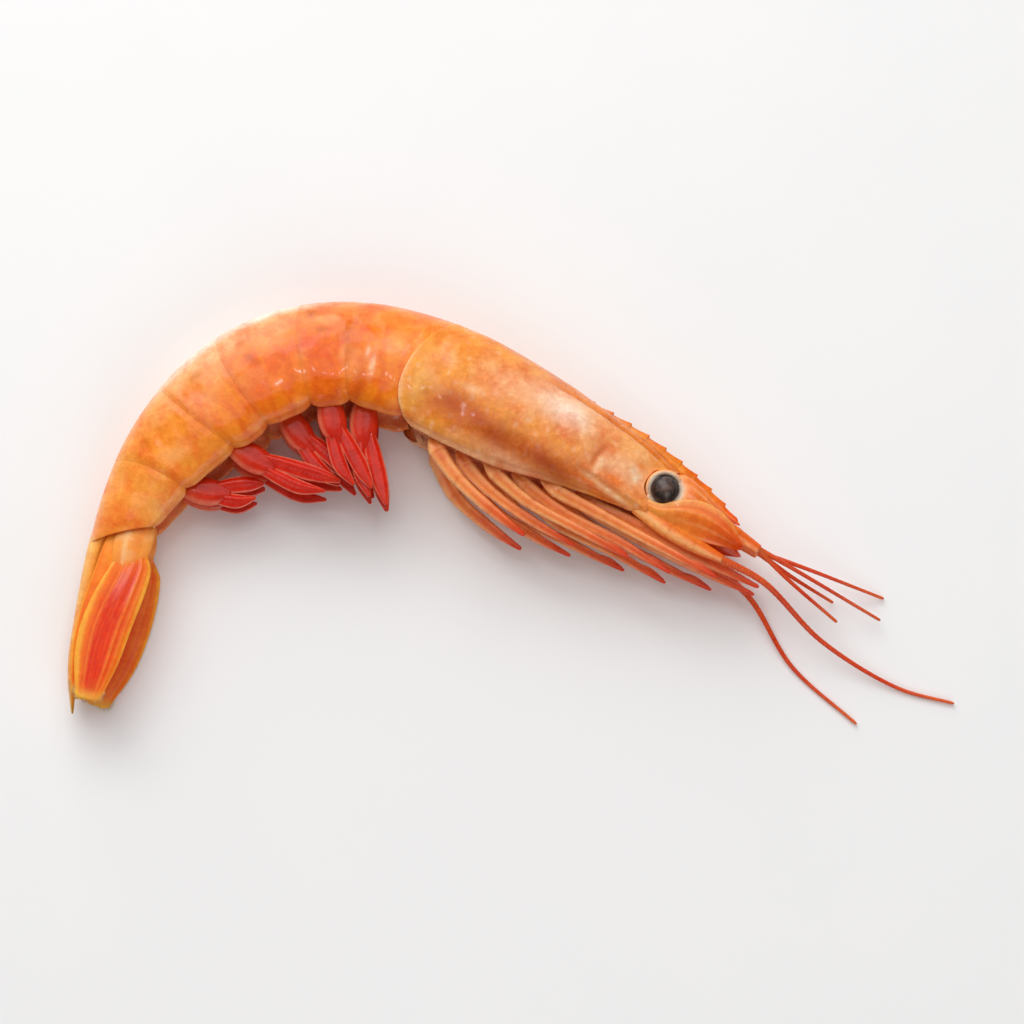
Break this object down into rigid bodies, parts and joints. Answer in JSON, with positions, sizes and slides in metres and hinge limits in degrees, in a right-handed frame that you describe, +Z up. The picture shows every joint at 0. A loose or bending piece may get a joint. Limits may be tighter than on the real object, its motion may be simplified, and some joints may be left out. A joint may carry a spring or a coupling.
{
  "type": "thawed argentine red shrimp",
  "caption": "Whole thawed red shrimp with head, shell, legs, swimmerets, feelers and tail fan, lying on its side with an arched tail.",
  "frame": {"origin": "on the surface it lies on, under the middle of the whole shrimp's box", "axes": "+Z up, out of the shrimp's right side; +X towards the head and feelers; +Y towards the arched back"},
  "size_m": [0.1632, 0.0782, 0.0199],
  "materials": {
    "head_shell": "wet satin",
    "tail_shell": "wet satin",
    "tail_fan": "wet satin",
    "flesh": "moist",
    "leg": "moist",
    "swimmeret": "moist",
    "feeler": "moist",
    "eye": "glossy"
  },
  "bodies": {
    "root": {"head_shield": "head_shell", "breast": "flesh", "ring_1": "tail_shell", "ring_2": "tail_shell", "ring_3": "tail_shell", "ring_4": "tail_shell", "ring_5": "tail_shell", "ring_6": "tail_shell", "tail_plate": "tail_fan", "fan_base_right": "tail_shell", "fan_inner_right": "tail_fan", "fan_outer_right": "tail_fan", "eye_right": "eye", "eye_stalk_right": "flesh", "short_feeler_right": "feeler", "long_feeler_right": "feeler", "feeler_blade_right": "head_shell", "feeding_leg_right": "leg", "leg_1_right": "leg", "leg_2_right": "leg", "leg_3_right": "leg", "leg_4_right": "leg", "leg_5_right": "leg", "swimmeret_1_right": "swimmeret", "swimmeret_2_right": "swimmeret", "swimmeret_3_right": "swimmeret", "swimmeret_4_right": "swimmeret", "swimmeret_5_right": "swimmeret", "fan_base_left": "tail_shell", "fan_inner_left": "tail_fan", "fan_outer_left": "tail_fan", "eye_left": "eye", "eye_stalk_left": "flesh", "short_feeler_left": "feeler", "long_feeler_left": "feeler", "feeler_blade_left": "head_shell", "feeding_leg_left": "leg", "leg_1_left": "leg", "leg_2_left": "leg", "leg_3_left": "leg", "leg_4_left": "leg", "leg_5_left": "leg", "swimmeret_1_left": "swimmeret", "swimmeret_2_left": "swimmeret", "swimmeret_3_left": "swimmeret", "swimmeret_4_left": "swimmeret", "swimmeret_5_left": "swimmeret"}
  },
  "joints": []
}
